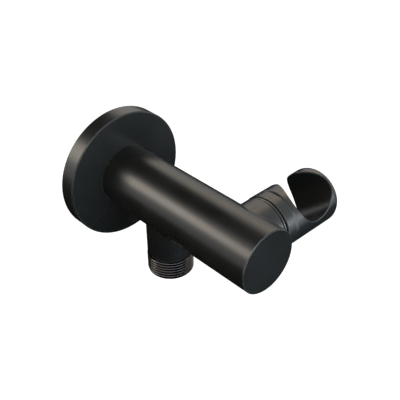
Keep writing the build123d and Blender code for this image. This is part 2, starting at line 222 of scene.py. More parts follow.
@dataclass(frozen=True)
class EffectMaker:
    """Sizes of the shared effects and the nodes that draw them."""

    pits_to_grain: float = 2.7
    pit_share: float = 0.35
    patch_range: Range = (0.35, 0.65)
    smear_turn: Triple = (0.5, 0.3, 0.9)
    smear_stretch: Triple = (1.0, 5.0, 2.2)
    smear_range: Range = (0.58, 0.75)
    edge_match: Range = (0.995, 0.9)
    rub_and_highlight_patches: float = 900.0
    rub_and_highlight_range: Range = (0.3, 0.6)
    least_rub_and_highlight: float = 0.6

    def grain(self, bench: Bench, entry: dict[str, Socket]) -> dict[str, Socket]:
        """Draw the fine satin grain of a blasted or coated surface.

        Args:
            bench: The group's bench.
            entry: The group's inputs by name.

        Returns:
            The group's results by name.
        """
        scale = bench.math("DIVIDE", 1.0, entry["Size"])
        coarse = bench.put("ShaderNodeTexNoise", {
            "Vector": entry["Vector"], "Scale": scale, "Detail": 3.0, "Roughness": 0.62})
        finer = bench.math("MULTIPLY", scale, self.pits_to_grain)
        pits = bench.put("ShaderNodeTexVoronoi", {"Vector": entry["Vector"], "Scale": finer})
        shallow = bench.math("MULTIPLY", pits.outputs["Distance"], self.pit_share)
        blend = bench.math("ADD", coarse.outputs["Fac"], shallow)
        return {"Height": bench.math("MULTIPLY", blend, entry["Depth"]), "Grain": coarse.outputs["Fac"]}

    def marks(self, bench: Bench, entry: dict[str, Socket]) -> dict[str, Socket]:
        """Draw broad soft patches and a few faint smears where hands have been.

        Args:
            bench: The group's bench.
            entry: The group's inputs by name.

        Returns:
            The group's results by name.
        """
        scale = bench.math("DIVIDE", 1.0, entry["Size"])
        broad = bench.put("ShaderNodeTexNoise", {
            "Vector": entry["Vector"], "Scale": scale, "Detail": 2.0, "Roughness": 0.5, "Distortion": 0.4})
        drawn = bench.put("ShaderNodeMapping", {
            "Vector": entry["Vector"], "Rotation": self.smear_turn, "Scale": self.smear_stretch})
        streaks = bench.put("ShaderNodeTexNoise", {
            "Vector": drawn.outputs["Vector"], "Scale": scale,
            "Detail": 4.0, "Roughness": 0.7, "Distortion": 1.2})
        return {
            "Patches": bench.span(broad.outputs["Fac"], *self.patch_range),
            "Smears": bench.span(streaks.outputs["Fac"], *self.smear_range),
        }

    def turning(self, bench: Bench, entry: dict[str, Socket]) -> dict[str, Socket]:
        """Draw fine lathe rings: along the axis on a rod, across the radius on a flat face.

        Args:
            bench: The group's bench.
            entry: The group's inputs by name.

        Returns:
            The group's results by name.
        """
        radius, along = bench.round_z(entry["Vector"])
        place = bench.math("DIVIDE", bench.math("ADD", radius, along), entry["Pitch"])
        rings = bench.put("ShaderNodeTexNoise", {"W": place, "Scale": 1.0, "Detail": 3.0, "Roughness": 0.7},
                          noise_dimensions="1D")
        height = bench.math("MULTIPLY", rings.outputs["Fac"], entry["Depth"])
        return {"Height": height, "Rings": rings.outputs["Fac"]}

    def rub(self, bench: Bench, entry: dict[str, Socket]) -> dict[str, Socket]:
        """Find the sharp edges of a surface, broken up as real rubbing is; the coating paints them lighter as
        rubbed wear and as a painted highlight.

        Args:
            bench: The group's bench.
            entry: The group's inputs by name.

        Returns:
            The group's results by name.
        """
        rounded = bench.put("ShaderNodeBevel", {"Radius": entry["Reach"]}, samples=4)
        surface = bench.put("ShaderNodeNewGeometry")
        normals = {0: rounded.outputs["Normal"], 1: surface.outputs["Normal"]}
        match = bench.put("ShaderNodeVectorMath", normals, operation="DOT_PRODUCT")
        edge = bench.span(match.outputs["Value"], *self.edge_match)
        broken = bench.put("ShaderNodeTexNoise", {
            "Vector": entry["Vector"], "Scale": self.rub_and_highlight_patches, "Detail": 2.0})
        kept = bench.span(broken.outputs["Fac"], *self.rub_and_highlight_range, self.least_rub_and_highlight, 1.0)
        return {"Edge": bench.math("MULTIPLY", edge, kept)}


class EffectShelf:
    """Builds each shared effect once and hands it out."""

    def __init__(self) -> None:
        """Start with an empty shelf."""
        self.made: dict[Effect, bpy.types.NodeTree] = {}

    def take(self, bench: Bench, effect: Effect, feeds: dict) -> bpy.types.Node:
        """Place an effect in a material.

        Args:
            bench: The material's bench.
            effect: Which effect.
            feeds: Its input values.

        Returns:
            The group's node in that material.
        """
        if effect not in self.made:
            self.made[effect] = self.build(effect)
        return bench.put("ShaderNodeGroup", feeds, node_tree=self.made[effect])

    @staticmethod
    def build(effect: Effect) -> bpy.types.NodeTree:
        """Build the node group of an effect.

        Args:
            effect: Which effect.

        Returns:
            The group.
        """
        maker = EffectMaker()
        draw, sizes = {
            Effect.GRAIN: (maker.grain, ("Size", "Depth")),
            Effect.MARKS: (maker.marks, ("Size",)),
            Effect.TURNING: (maker.turning, ("Pitch", "Depth")),
            Effect.RUB: (maker.rub, ("Reach",)),
        }[effect]
        group = bpy.data.node_groups.new(effect.value, "ShaderNodeTree")
        group.interface.new_socket(name="Vector", in_out="INPUT", socket_type="NodeSocketVector")
        for name in sizes:
            group.interface.new_socket(name=name, in_out="INPUT", socket_type="NodeSocketFloat")
        bench = Bench(group)
        entry = bench.put("NodeGroupInput").outputs
        results = draw(bench, {name: entry[name] for name in ("Vector", *sizes)})
        for name in results:
            group.interface.new_socket(name=name, in_out="OUTPUT", socket_type="NodeSocketFloat")
        bench.put("NodeGroupOutput", results)
        return group


@dataclass(frozen=True)
class Finish:
    """What every finish has: its slot's name and its two shades."""

    slot: str
    shade: Colour
    second_shade: Colour

    def blank(self, axis: Axis) -> tuple[bpy.types.Material, Bench, bpy.types.Node, Socket]:
        """Start a material.

        Args:
            axis: The piece's lathe axis, part of the material's name.

        Returns:
            The material, its bench, its surface shader and the object coordinates.
        """
        material = bpy.data.materials.new(f"{self.slot}_{axis.value}")
        bench = Bench.cleared(material)
        surface = bench.put("ShaderNodeBsdfPrincipled")
        bench.put("ShaderNodeOutputMaterial", {"Surface": surface.outputs["BSDF"]})
        coordinates = bench.put("ShaderNodeTexCoord").outputs["Object"]
        return material, bench, surface, coordinates

    @staticmethod
    def bump(bench: Bench, surface: bpy.types.Node, height: Socket) -> None:
        """Press a height in metres into the surface."""
        node = bench.put("ShaderNodeBump", {"Height": height, "Distance": 1.0, "Strength": 1.0})
        bench.feed(surface.inputs["Normal"], node.outputs["Normal"])


@dataclass(frozen=True)
class CoatedMetal(Finish):
    """Dark satin coating over turned brass, its edges lighter as rubbed wear and a painted highlight, its
    hose thread polished on the crests with painted shade in the roots.
    """

    roughness: float = 0.285
    gloss_level: float = 0.46
    rough_spread: float = 0.035
    smear_roughness: float = 0.03
    grain_roughness: float = 0.04
    grain_size: float = 0.22 * MM
    grain_depth: float = 0.0016 * MM
    ring_pitch: float = 0.35 * MM
    ring_depth: float = 0.0006 * MM
    mark_size: float = 26 * MM
    rub_reach: float = 0.16 * MM
    # lighter edge colour: partly rubbed wear, partly a painted highlight where bevels catch light
    rub_and_painted_highlight_shade: Colour = (0.22, 0.224, 0.235)
    thread_fade: float = 0.1 * MM
    thread_polish: float = 0.14
    crest_and_shaded_root_radii: Range = (10.1 * MM, 10.46 * MM)
    crest_shade: Colour = (0.20, 0.188, 0.18)
    # near-black thread roots: painted shade standing in for the shadow between the ridges
    root_painted_shade: Colour = (0.003, 0.003, 0.003)

    def material(self, shelf: EffectShelf, axis: Axis, centre: Vector) -> bpy.types.Material:
        """Make the coating for a piece turned about one axis.

        Args:
            shelf: The shared effects.
            axis: The piece's lathe axis.
            centre: A point on that axis.

        Returns:
            The finished material.
        """
        material, bench, surface, coordinates = self.blank(axis)
        place = bench.centred(coordinates, centre)
        grain = shelf.take(bench, Effect.GRAIN, {
            "Vector": coordinates, "Size": self.grain_size, "Depth": self.grain_depth})
        rings = shelf.take(bench, Effect.TURNING, {
            "Vector": bench.turned(place, axis), "Pitch": self.ring_pitch, "Depth": self.ring_depth})
        marks = shelf.take(bench, Effect.MARKS, {"Vector": coordinates, "Size": self.mark_size})
        rub = shelf.take(bench, Effect.RUB, {"Vector": coordinates, "Reach": self.rub_reach})
        body = bench.tint(marks.outputs["Patches"], self.shade, self.second_shade)
        # edges painted lighter: rubbed wear and a painted highlight
        colour = bench.tint(rub.outputs["Edge"], body, self.rub_and_painted_highlight_shade)
        rough = self.rough(bench, grain, marks)
        if axis is Axis.OUTLET:
            thread, crests_over_shaded_roots = self.hose_thread(bench, place)
            # thread roots painted nearly black as shade, crests a lighter polished metal
            colour = bench.tint(thread, colour, bench.tint(crests_over_shaded_roots, self.root_painted_shade, self.crest_shade))
            rough = bench.math("MULTIPLY_ADD", thread, -self.thread_polish, rough)
            bench.feed(surface.inputs["Metallic"], thread)
        bench.feed(surface.inputs["Base Color"], colour)
        bench.feed(surface.inputs["Roughness"], rough)
        surface.inputs["Specular IOR Level"].default_value = self.gloss_level
        self.bump(bench, surface, bench.math("ADD", grain.outputs["Height"], rings.outputs["Height"]))
        return material

    def rough(self, bench: Bench, grain: bpy.types.Node, marks: bpy.types.Node) -> Socket:
        """Work out how rough the coating is from place to place.

        Args:
            bench: The material's bench.
            grain: The grain's node.
            marks: The handling marks' node.

        Returns:
            The roughness, close to the named one all over.
        """
        low = self.roughness - self.rough_spread - self.grain_roughness / 2
        broad = bench.span(marks.outputs["Patches"], 0.0, 1.0, low, low + 2 * self.rough_spread)
        smeared = bench.math("MULTIPLY_ADD", marks.outputs["Smears"], self.smear_roughness, broad)
        return bench.math("MULTIPLY_ADD", grain.outputs["Grain"], self.grain_roughness, smeared)

    def hose_thread(self, bench: Bench, place: Socket) -> tuple[Socket, Socket]:
        """Find the hose thread, whose crests the hose's nut has polished and whose roots are painted nearly
        black as shade.

        Args:
            bench: The material's bench.
            place: The place from the outlet's axis.

        Returns:
            The share of the thread and the share of its crests against its painted-shade roots.
        """
        radius, height = bench.round_z(place)
        thread = bench.span(height, HOSE_THREAD_TOP, HOSE_THREAD_TOP - self.thread_fade)
        return thread, bench.span(radius, *self.crest_and_shaded_root_radii)


@dataclass(frozen=True)
class BareMetal(Finish):
    """Turned metal without a coating: brass or stainless steel."""

    roughness: float = 0.3
    smear_roughness: float = 0.14
    ring_roughness: float = 0.08
    ring_pitch: float = 0.25 * MM
    ring_depth: float = 0.0022 * MM
    mark_size: float = 6 * MM

    def material(self, shelf: EffectShelf, axis: Axis, centre: Vector) -> bpy.types.Material:
        """Make the metal for a piece turned about one axis.

        Args:
            shelf: The shared effects.
            axis: The piece's lathe axis.
            centre: A point on that axis.

        Returns:
            The finished material.
        """
        material, bench, surface, coordinates = self.blank(axis)
        turned = bench.turned(bench.centred(coordinates, centre), axis)
        rings = shelf.take(bench, Effect.TURNING, {
            "Vector": turned, "Pitch": self.ring_pitch, "Depth": self.ring_depth})
        marks = shelf.take(bench, Effect.MARKS, {"Vector": coordinates, "Size": self.mark_size})
        smeared = bench.math("MULTIPLY_ADD", marks.outputs["Smears"], self.smear_roughness, self.roughness)
        rough = bench.math("MULTIPLY_ADD", rings.outputs["Rings"], self.ring_roughness, smeared)
        bench.feed(surface.inputs["Base Color"], bench.tint(
            marks.outputs["Patches"], self.shade, self.second_shade))
        bench.feed(surface.inputs["Roughness"], rough)
        surface.inputs["Metallic"].default_value = 1.0
        self.bump(bench, surface, rings.outputs["Height"])
        return material


@dataclass(frozen=True)
class Moulded(Finish):
    """Rubber, plastic, fibre or foam: a dull or glossy non-metal with a grain."""

    roughness: float = 0.55
    smear_roughness: float = 0.12
    gloss_level: float = 0.5
    grain_size: float = 0.3 * MM
    grain_depth: float = 0.008 * MM
    grain_share: float = 0.6
    mark_size: float = 5 * MM

    def material(self, shelf: EffectShelf, axis: Axis, centre: Vector) -> bpy.types.Material:
        """Make the moulded stuff.

        Args:
            shelf: The shared effects.
            axis: The piece's own axis, part of the material's name.
            centre: Where the grain's pattern starts.

        Returns:
            The finished material.
        """
        material, bench, surface, coordinates = self.blank(axis)
        grain = shelf.take(bench, Effect.GRAIN, {
            "Vector": bench.centred(coordinates, centre), "Size": self.grain_size, "Depth": self.grain_depth})
        marks = shelf.take(bench, Effect.MARKS, {"Vector": coordinates, "Size": self.mark_size})
        patches = bench.math("MULTIPLY", marks.outputs["Patches"], 1 - self.grain_share)
        shaded = bench.math("MULTIPLY_ADD", grain.outputs["Grain"], self.grain_share, patches)
        rough = bench.math("MULTIPLY_ADD", marks.outputs["Smears"], self.smear_roughness, self.roughness)
        bench.feed(surface.inputs["Base Color"], bench.tint(shaded, self.shade, self.second_shade))
        bench.feed(surface.inputs["Roughness"], rough)
        surface.inputs["Specular IOR Level"].default_value = self.gloss_level
        self.bump(bench, surface, grain.outputs["Height"])
        return material


class Wardrobe:
    """Holds every finish and dresses pieces and frame nodes with it."""

    def __init__(self) -> None:
        """Lay out the finishes by the record's slot names."""
        self.shelf = EffectShelf()
        self.made: dict[tuple[str, Axis], bpy.types.Material] = {}
        finishes = (
            CoatedMetal("coated_brass", (0.0115, 0.0120, 0.0120), (0.0135, 0.0140, 0.0138)),
            BareMetal("bare_brass", (0.62, 0.42, 0.17), (0.74, 0.52, 0.24), roughness=0.26),
            BareMetal("stainless", (0.50, 0.49, 0.47), (0.60, 0.59, 0.57), roughness=0.24),
            Moulded("seal_rubber", (0.010, 0.010, 0.010), (0.020, 0.020, 0.019), roughness=0.52),
            Moulded("gasket_foam", (0.035, 0.035, 0.036), (0.085, 0.085, 0.086), roughness=0.85,
                    gloss_level=0.3, grain_size=0.45 * MM, grain_depth=0.12 * MM),
            Moulded("gasket_fibre", (0.16, 0.045, 0.028), (0.26, 0.10, 0.06), roughness=0.8,
                    gloss_level=0.3, grain_size=0.35 * MM, grain_depth=0.03 * MM),
            Moulded("valve_plastic", (0.60, 0.60, 0.57), (0.70, 0.70, 0.67), roughness=0.42,
                    grain_size=0.5 * MM, grain_depth=0.004 * MM),
            Moulded("bearing_plastic", (0.012, 0.012, 0.012), (0.026, 0.026, 0.025), roughness=0.45),
        )
        self.finishes = {finish.slot: finish for finish in finishes}

    def cloth_for(self, slot: str, axis: Axis, centre: Vector) -> bpy.types.Material:
        """Give the material of a slot for a piece turned about an axis, made once.

        Args:
            slot: The record's material slot.
            axis: The piece's lathe axis.
            centre: A point on that axis.

        Returns:
            The material.
        """
        key = (slot, axis)
        if key not in self.made:
            self.made[key] = self.finishes[slot].material(self.shelf, axis, centre)
        return self.made[key]

    def dress_node(self, node: bpy.types.Object, axis: Axis, centre: Vector) -> None:
        """Give a frame node the finish of the slot that it already names.

        Args:
            node: The frame node.
            axis: Its lathe axis.
            centre: A point on that axis.
        """
        for place in node.material_slots:
            slot = place.material.name.split(".")[0]
            place.material = self.cloth_for(slot, axis, centre)

    def dress_piece(self, piece: bpy.types.Object, slot: str, axis: Axis, centre: Vector) -> None:
        """Give a new piece its finish.

        Args:
            piece: The piece.
            slot: The record's material slot.
            axis: The piece's lathe axis.
            centre: A point on that axis.
        """
        piece.data.materials.clear()
        piece.data.materials.append(self.cloth_for(slot, axis, centre))


@dataclass(frozen=True)
class Thread:
    """Sizes of one screw thread, along its piece's own axis."""

    crest: float
    root: float
    pitch: float
    start: float
    end: float
    crest_flat: float
    root_flat: float
    crest_round: float = 0.32
    lead_in: float = 0.8
    bite: float = 0.12 * MM


@dataclass(frozen=True)
class Workshop:
    """Shapes meshes with Blender's own modelling operators."""

    lathe_sides: int = 160
    thread_sides: int = 96
    merge_reach: float = 0.001 * MM
    smooth_angle: float = math.radians(28)

    @staticmethod
    def clear_hands() -> None:
        """Leave edit mode and deselect everything."""
        if bpy.context.object and bpy.context.object.mode != "OBJECT":
            bpy.ops.object.mode_set(mode="OBJECT")
        bpy.ops.object.select_all(action="DESELECT")

    def pick_up(self, piece: bpy.types.Object) -> None:
        """Make one piece the only selected and active object.

        Args:
            piece: The piece.
        """
        self.clear_hands()
        piece.select_set(True)
        bpy.context.view_layer.objects.active = piece

    @staticmethod
    def adopt(name: str) -> bpy.types.Object:
        """Name the primitive that was just added and fix its place in its mesh.

        Args:
            name: Its name.

        Returns:
            The primitive.
        """
        piece = bpy.context.object
        piece.name = name
        piece.data.name = name
        bpy.ops.object.transform_apply(location=True, rotation=True, scale=True)
        return piece

    def close_up(self) -> None:
        """Merge the piece's points, fill its open ends, face it outwards and leave edit mode."""
        bpy.ops.mesh.select_all(action="SELECT")
        bpy.ops.mesh.remove_doubles(threshold=self.merge_reach)
        bpy.ops.mesh.fill_holes(sides=0)
        bpy.ops.mesh.select_all(action="SELECT")
        bpy.ops.mesh.normals_make_consistent(inside=False)
        bpy.ops.object.mode_set(mode="OBJECT")

    def lathe(self, name: str, profile: Profile) -> bpy.types.Object:
        """Turn a closed hollow profile about Z.

        Args:
            name: The piece's name.
            profile: Points (place along the axis, radius), once round the section.

        Returns:
            The closed piece, its axis on Z.
        """
        self.clear_hands()
        start, radius = profile[0]
        bpy.ops.mesh.primitive_circle_add(vertices=self.lathe_sides, radius=radius, location=(0, 0, start))
        piece = self.adopt(name)
        bpy.ops.object.mode_set(mode="EDIT")
        bpy.ops.mesh.select_all(action="SELECT")
        for place, next_radius in profile[1:] + profile[:1]:
            bpy.ops.mesh.extrude_region_move(TRANSFORM_OT_translate={"value": (0, 0, place - start)})
            ratio = next_radius / radius
            bpy.ops.transform.resize(value=(ratio, ratio, 1), center_override=(0, 0, place))
            start, radius = place, next_radius
        self.close_up()
        return piece

    def wind(self, section: bpy.types.Object, angle: float, rise: float, steps: int, turns: int = 1) -> None:
        """Sweep an open section round and along Z, and close its ends.

        Args:
            section: The section, which becomes the wound piece.
            angle: Angle of one sweep, in radians.
            rise: How far one sweep climbs.
            steps: Steps in one sweep.
            turns: How many sweeps.
        """
        screw = section.modifiers.new("screw", "SCREW")
        screw.axis = "Z"
        screw.angle = angle
        screw.screw_offset = rise
        screw.iterations = turns
        screw.steps = steps
        screw.render_steps = steps
        screw.use_normal_calculate = True
        bpy.ops.object.modifier_apply(modifier=screw.name)
        bpy.ops.object.mode_set(mode="EDIT")
        self.close_up()

    @staticmethod
    def choose(piece: bpy.types.Object, wanted: Callable[[Vector], bool]) -> None:
        """Select the points of a piece in edit mode that a test picks.

        Args:
            piece: The piece.
            wanted: The test of a point's place.
        """
        bpy.ops.mesh.select_all(action="DESELECT")
        mesh = bmesh.from_edit_mesh(piece.data)
        for point in mesh.verts:
            point.select_set(wanted(point.co))
        mesh.select_flush_mode()
        bmesh.update_edit_mesh(piece.data)

    def cut_ridge(self, thread: Thread) -> bpy.types.Object:
        """Wind a thread's ridge along Z, past both ends of the thread.

        Args:
            thread: The thread's sizes.

        Returns:
            The closed ridge.
        """
        self.clear_hands()
        turns = math.ceil((thread.end - thread.start) / thread.pitch) + 2
        depth = thread.crest - thread.root + thread.bite
        middle = (thread.crest + thread.root - thread.bite) / 2
        begin = thread.start - thread.pitch * thread.lead_in
        upright = (math.pi / 2, 0, 0)
        bpy.ops.mesh.primitive_plane_add(size=depth, location=(middle, 0, begin), rotation=upright)
        ridge = self.adopt("thread_ridge")
        bpy.ops.object.mode_set(mode="EDIT")
        for outer, width in ((False, thread.pitch - thread.root_flat), (True, thread.crest_flat)):
            self.choose(ridge, lambda point, outer=outer: (point.x > middle) == outer)
            bpy.ops.transform.resize(value=(1, 1, width / depth), center_override=(middle, 0, begin))
        self.choose(ridge, lambda point: point.x > middle)
        bpy.ops.mesh.bevel(offset=thread.crest_flat * thread.crest_round, segments=2, affect="VERTICES")
        bpy.ops.mesh.select_all(action="SELECT")
        bpy.ops.mesh.delete(type="ONLY_FACE")
        bpy.ops.object.mode_set(mode="OBJECT")
        self.wind(ridge, math.tau, thread.pitch, self.thread_sides, turns)
        return ridge

    def combine(self, piece: bpy.types.Object, other: bpy.types.Object, operation: str) -> None:
        """Join, cut or cross one piece with another, and use the other up.

        Args:
            piece: The piece that stays.
            other: The piece that is used up.
            operation: UNION, DIFFERENCE or INTERSECT.
        """
        self.pick_up(piece)
        cut = piece.modifiers.new("combine", "BOOLEAN")
        cut.operation = operation
        cut.solver = "MANIFOLD"
        cut.object = other
        bpy.ops.object.modifier_apply(modifier=cut.name)
        bpy.data.objects.remove(other)

    def add_thread(self, nipple: bpy.types.Object, thread: Thread, outline: Profile) -> None:
        """Add a thread's ridge to a nipple that is turned down to the thread's root.

        Args:
            nipple: The nipple, its axis on Z.
            thread: The thread's sizes.
            outline: Points (place, radius) along the outside of the thread, from end to end.
        """
        ridge = self.cut_ridge(thread)
        inside = thread.root - 2 * thread.bite
        blank = self.lathe("thread_blank", [(outline[0][0], inside), *outline, (outline[-1][0], inside)])
        self.combine(ridge, blank, "INTERSECT")
        self.combine(nipple, ridge, "UNION")

    def cut_key_seat(self, piece: bpy.types.Object, flats: float, start: float, end: float) -> None:
        """Cut a hexagon seat for a key along Z.

        Args:
            piece: The piece that is cut.
            flats: Width across the flats.
            start: Where the seat starts.
            end: Where it ends.
        """
        self.clear_hands()
        corner = flats / math.sqrt(3)
        bpy.ops.mesh.primitive_circle_add(vertices=6, radius=corner, fill_type="NGON", location=(0, 0, start))
        bar = self.adopt("key_bar")
        bpy.ops.object.mode_set(mode="EDIT")
        bpy.ops.mesh.select_all(action="SELECT")
        bpy.ops.mesh.extrude_region_move(TRANSFORM_OT_translate={"value": (0, 0, end - start)})
        self.close_up()
        self.combine(piece, bar, "DIFFERENCE")

    def place(self, piece: bpy.types.Object, spot: Vector, tilt: Triple = (0, 0, 0)) -> None:
        """Bring a piece from the bench to its place and fix it in its mesh.

        Args:
            piece: The piece, its axis on Z.
            spot: Where its origin goes.
            tilt: Turn about X, Y and Z, in radians.
        """
        self.pick_up(piece)
        piece.rotation_euler = tilt
        piece.location = spot
        bpy.ops.object.transform_apply(location=True, rotation=True, scale=True)
        bpy.ops.object.shade_smooth_by_angle(angle=self.smooth_angle)


def middle_of(name: str) -> Vector:
    """Find where the upright or sideways axis of a frame node crosses the arm's axis."""
    low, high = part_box(name)
    return Vector(((low.x + high.x) / 2, 0, 0))


@dataclass
class HoseOutlet:
    """Outlet nipple below the arm with its real hose thread."""

    barrel: float = 10.3 * MM
    screw_end: float = 9.0 * MM
    screw_lead: float = 0.5 * MM
    screw_length: float = 5.0 * MM
    barrel_foot: float = -26.6 * MM
    barrel_round: float = 0.85 * MM
    round_steps: int = 4
    groove_root: float = PIPE_THREAD_ROOT
    thread_pitch: float = 1.44 * MM
    thread_root: float = 9.58 * MM
    crest_flat: float = 0.34 * MM
    root_flat: float = 0.20 * MM
    top_lead: float = 0.25 * MM
    end_lead: float = 0.5 * MM
    bore: float = 7.5 * MM
    bore_floor: float = -18.88 * MM
    throat: float = 6.0 * MM
    key_flats: float = 12.0 * MM
    key_depth: float = 8.0 * MM

    def profile(self, top: float, foot: float) -> Profile:
        """Draw the section of the nipple with its thread cut down to the root.

        Args:
            top: Height of the screw end.
            foot: Height of the threaded end.

        Returns:
            The points (height, radius).
        """
        seat = top - self.screw_length
        angles = [step * math.pi / 2 / self.round_steps for step in range(self.round_steps + 1)]
        rounded = [
            (self.barrel_foot + self.barrel_round * (1 - math.sin(angle)),
             self.barrel - self.barrel_round * (1 - math.cos(angle)))
            for angle in angles
        ]
        return [
            (top, self.throat),
            (top, self.screw_end - self.screw_lead),
            (top - self.screw_lead, self.screw_end),
            (seat, self.screw_end),
            (seat, self.barrel),
            *rounded,
            (self.barrel_foot, self.groove_root),
            (HOSE_THREAD_TOP, self.groove_root),
            (HOSE_THREAD_TOP, self.thread_root),
            (foot, self.thread_root),
            (foot, self.bore),
            (self.bore_floor, self.bore),
            (self.bore_floor, self.throat),
        ]

    def build(self, shop: Workshop, wardrobe: Wardrobe) -> bpy.types.Object:
        """Turn the nipple, cut its thread and stand it in for the plain node.

        Args:
            shop: Where meshes are shaped.
            wardrobe: The finishes.

        Returns:
            The finished nipple.
        """
        low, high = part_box("outlet_nipple")
        crest = (high.y - low.y) / 2
        spot = middle_of("outlet_nipple")
        nipple = shop.lathe("hose_outlet_nipple", self.profile(high.z, low.z))
        shop.cut_key_seat(nipple, self.key_flats, self.bore_floor - MM, self.bore_floor + self.key_depth)
        thread = Thread(crest, self.thread_root, self.thread_pitch, low.z, HOSE_THREAD_TOP,
                        self.crest_flat, self.root_flat)
        shop.add_thread(nipple, thread, [
            (HOSE_THREAD_TOP, crest - self.top_lead),
            (HOSE_THREAD_TOP - self.top_lead, crest),
            (low.z + self.end_lead, crest),
            (low.z, crest - self.end_lead),
        ])
        shop.place(nipple, spot)
        wardrobe.dress_piece(nipple, "coated_brass", Axis.OUTLET, spot)
        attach(nipple, "elbow")
        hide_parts("outlet_nipple")
        return nipple


@dataclass
class ValveSpring:
    """Closing spring of the check valve, which shortens as the poppet lifts."""

    wire: float = 0.25 * MM
    wire_fit: float = 0.97
    wire_sides: int = 12
    coil: float = 2.2 * MM
    turns: float = 4.5
    steps: int = 180
    travel: float = 3.0 * MM

    def build(self, shop: Workshop, wardrobe: Wardrobe) -> bpy.types.Object:
        """Wind the spring and stand it in for the plain node.

        Args:
            shop: Where meshes are shaped.
            wardrobe: The finishes.

        Returns:
            The finished spring.
        """
        low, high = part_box("valve_spring")
        spot = middle_of("valve_guide")
        foot = low.z + self.wire
        rise = high.z - self.wire - foot
        shop.clear_hands()
        bpy.ops.mesh.primitive_circle_add(vertices=self.wire_sides, radius=self.wire * self.wire_fit,
                                          location=(self.coil, 0, foot), rotation=(math.pi / 2, 0, 0))
        spring = shop.adopt("closing_spring")
        shop.wind(spring, math.tau * self.turns, rise, self.steps)
        shop.place(spring, spot)
        wardrobe.dress_piece(spring, "stainless", Axis.OUTLET, spot)
        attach(spring, "elbow")
        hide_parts("valve_spring")
        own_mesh(spring)
        return spring


@dataclass
class WallInlet:
    """Wall nipple behind the rosette with its real half inch pipe thread."""

    pitch: float = 1.814 * MM
    root: float = PIPE_THREAD_ROOT
    undercut: float = 0.4 * MM
    undercut_width: float = 0.6 * MM
    lead: float = 1.1 * MM
    thread_gap: float = 0.05 * MM
    spigot: float = 8.5 * MM
    spigot_lead: float = 0.6 * MM
    ring_floor: float = 7.25 * MM
    ring_width: float = 2.2 * MM
    ring_places: tuple[float, float] = (18.1 * MM, 21.3 * MM)
    lock_place: float = 12.8 * MM
    lock_width: float = 3.7 * MM
    lock_depth: float = 1.3 * MM
    bore: float = 5.0 * MM
    key_flats: float = 10.0 * MM
    key_depth: float = 9.0 * MM
    crest_flat: float = 0.3 * MM
    root_flat: float = 0.3 * MM

    def profile(self, back: float, front: float) -> Profile:
        """Draw the section of the nipple with its thread cut down to the root.

        Args:
            back: Place of its end in the wall.
            front: Place of its end in the arm.

        Returns:
            The points (place, radius).
        """
        grooves = [(self.lock_place, self.lock_width / 2, self.spigot - self.lock_depth)]
        grooves += [(place, self.ring_width / 2, self.ring_floor) for place in self.ring_places]
        outline = [(back, self.bore), (back, self.root), (0, self.root), (0, self.root - self.undercut)]
        outline += [(self.undercut_width, self.root - self.undercut), (self.undercut_width, self.spigot)]
        for place, half, floor in grooves:
            outline += [(place - half, self.spigot), (place - half, floor)]
            outline += [(place + half, floor), (place + half, self.spigot)]
        outline += [(front - self.spigot_lead, self.spigot), (front, self.spigot - self.spigot_lead)]
        return outline + [(front, self.bore)]

    def build(self, shop: Workshop, wardrobe: Wardrobe) -> bpy.types.Object:
        """Turn the nipple, cut its thread and stand it in for the plain node.

        Args:
            shop: Where meshes are shaped.
            wardrobe: The finishes.

        Returns:
            The finished nipple.
        """
        low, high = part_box("wall_nipple")
        crest = (high.y - low.y) / 2
        nipple = shop.lathe("wall_inlet_nipple", self.profile(low.x, high.x))
        shop.cut_key_seat(nipple, self.key_flats, high.x - self.key_depth, high.x + MM)
        thread = Thread(crest, self.root, self.pitch, low.x, 0.0, self.crest_flat, self.root_flat)
        shop.add_thread(nipple, thread, [
            (low.x, crest - self.lead),
            (low.x + self.lead, crest),
            (-self.lead / 2, crest),
            (-self.thread_gap, crest - self.lead / 2),
        ])
        shop.place(nipple, Vector((0, 0, 0)), (0, math.pi / 2, 0))
        wardrobe.dress_piece(nipple, "bare_brass", Axis.ARM, Vector((0, 0, 0)))
        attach(nipple, "elbow")
        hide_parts("wall_nipple")
        return nipple


@dataclass
class FramePieces:
    """Frame nodes by the lathe axis that their finish follows, where that isn't the outlet's axis."""

    arm_axis: tuple[str, ...] = (
        "wall_rosette", "rosette_o_ring", "rosette_gasket", "arm_body", "nipple_o_ring_outer",
        "nipple_o_ring_inner", "wall_nipple",
    )
    swivel_axis: tuple[str, ...] = (
        "side_stub", "pivot_bush", "thrust_washer", "disc_spring_inner", "disc_spring_outer", "pivot_bolt",
        "friction_washer_inner", "spacer_ring", "friction_washer_outer", "swivel_collar", "cradle_head",
    )

    def dress(self, nodes: dict[str, bpy.types.Object], wardrobe: Wardrobe) -> int:
        """Give every frame node its finish.

        Args:
            nodes: The frame's nodes by name.
            wardrobe: The finishes.

        Returns:
            How many nodes were dressed.
        """
        axes = {name: (Axis.ARM, Vector((0, 0, 0))) for name in self.arm_axis}
        axes |= {name: (Axis.SWIVEL, middle_of("side_stub")) for name in self.swivel_axis}
        outlet = (Axis.OUTLET, middle_of("outlet_nipple"))
        for name, node in nodes.items():
            wardrobe.dress_node(node, *axes.get(name, outlet))
        return len(nodes)


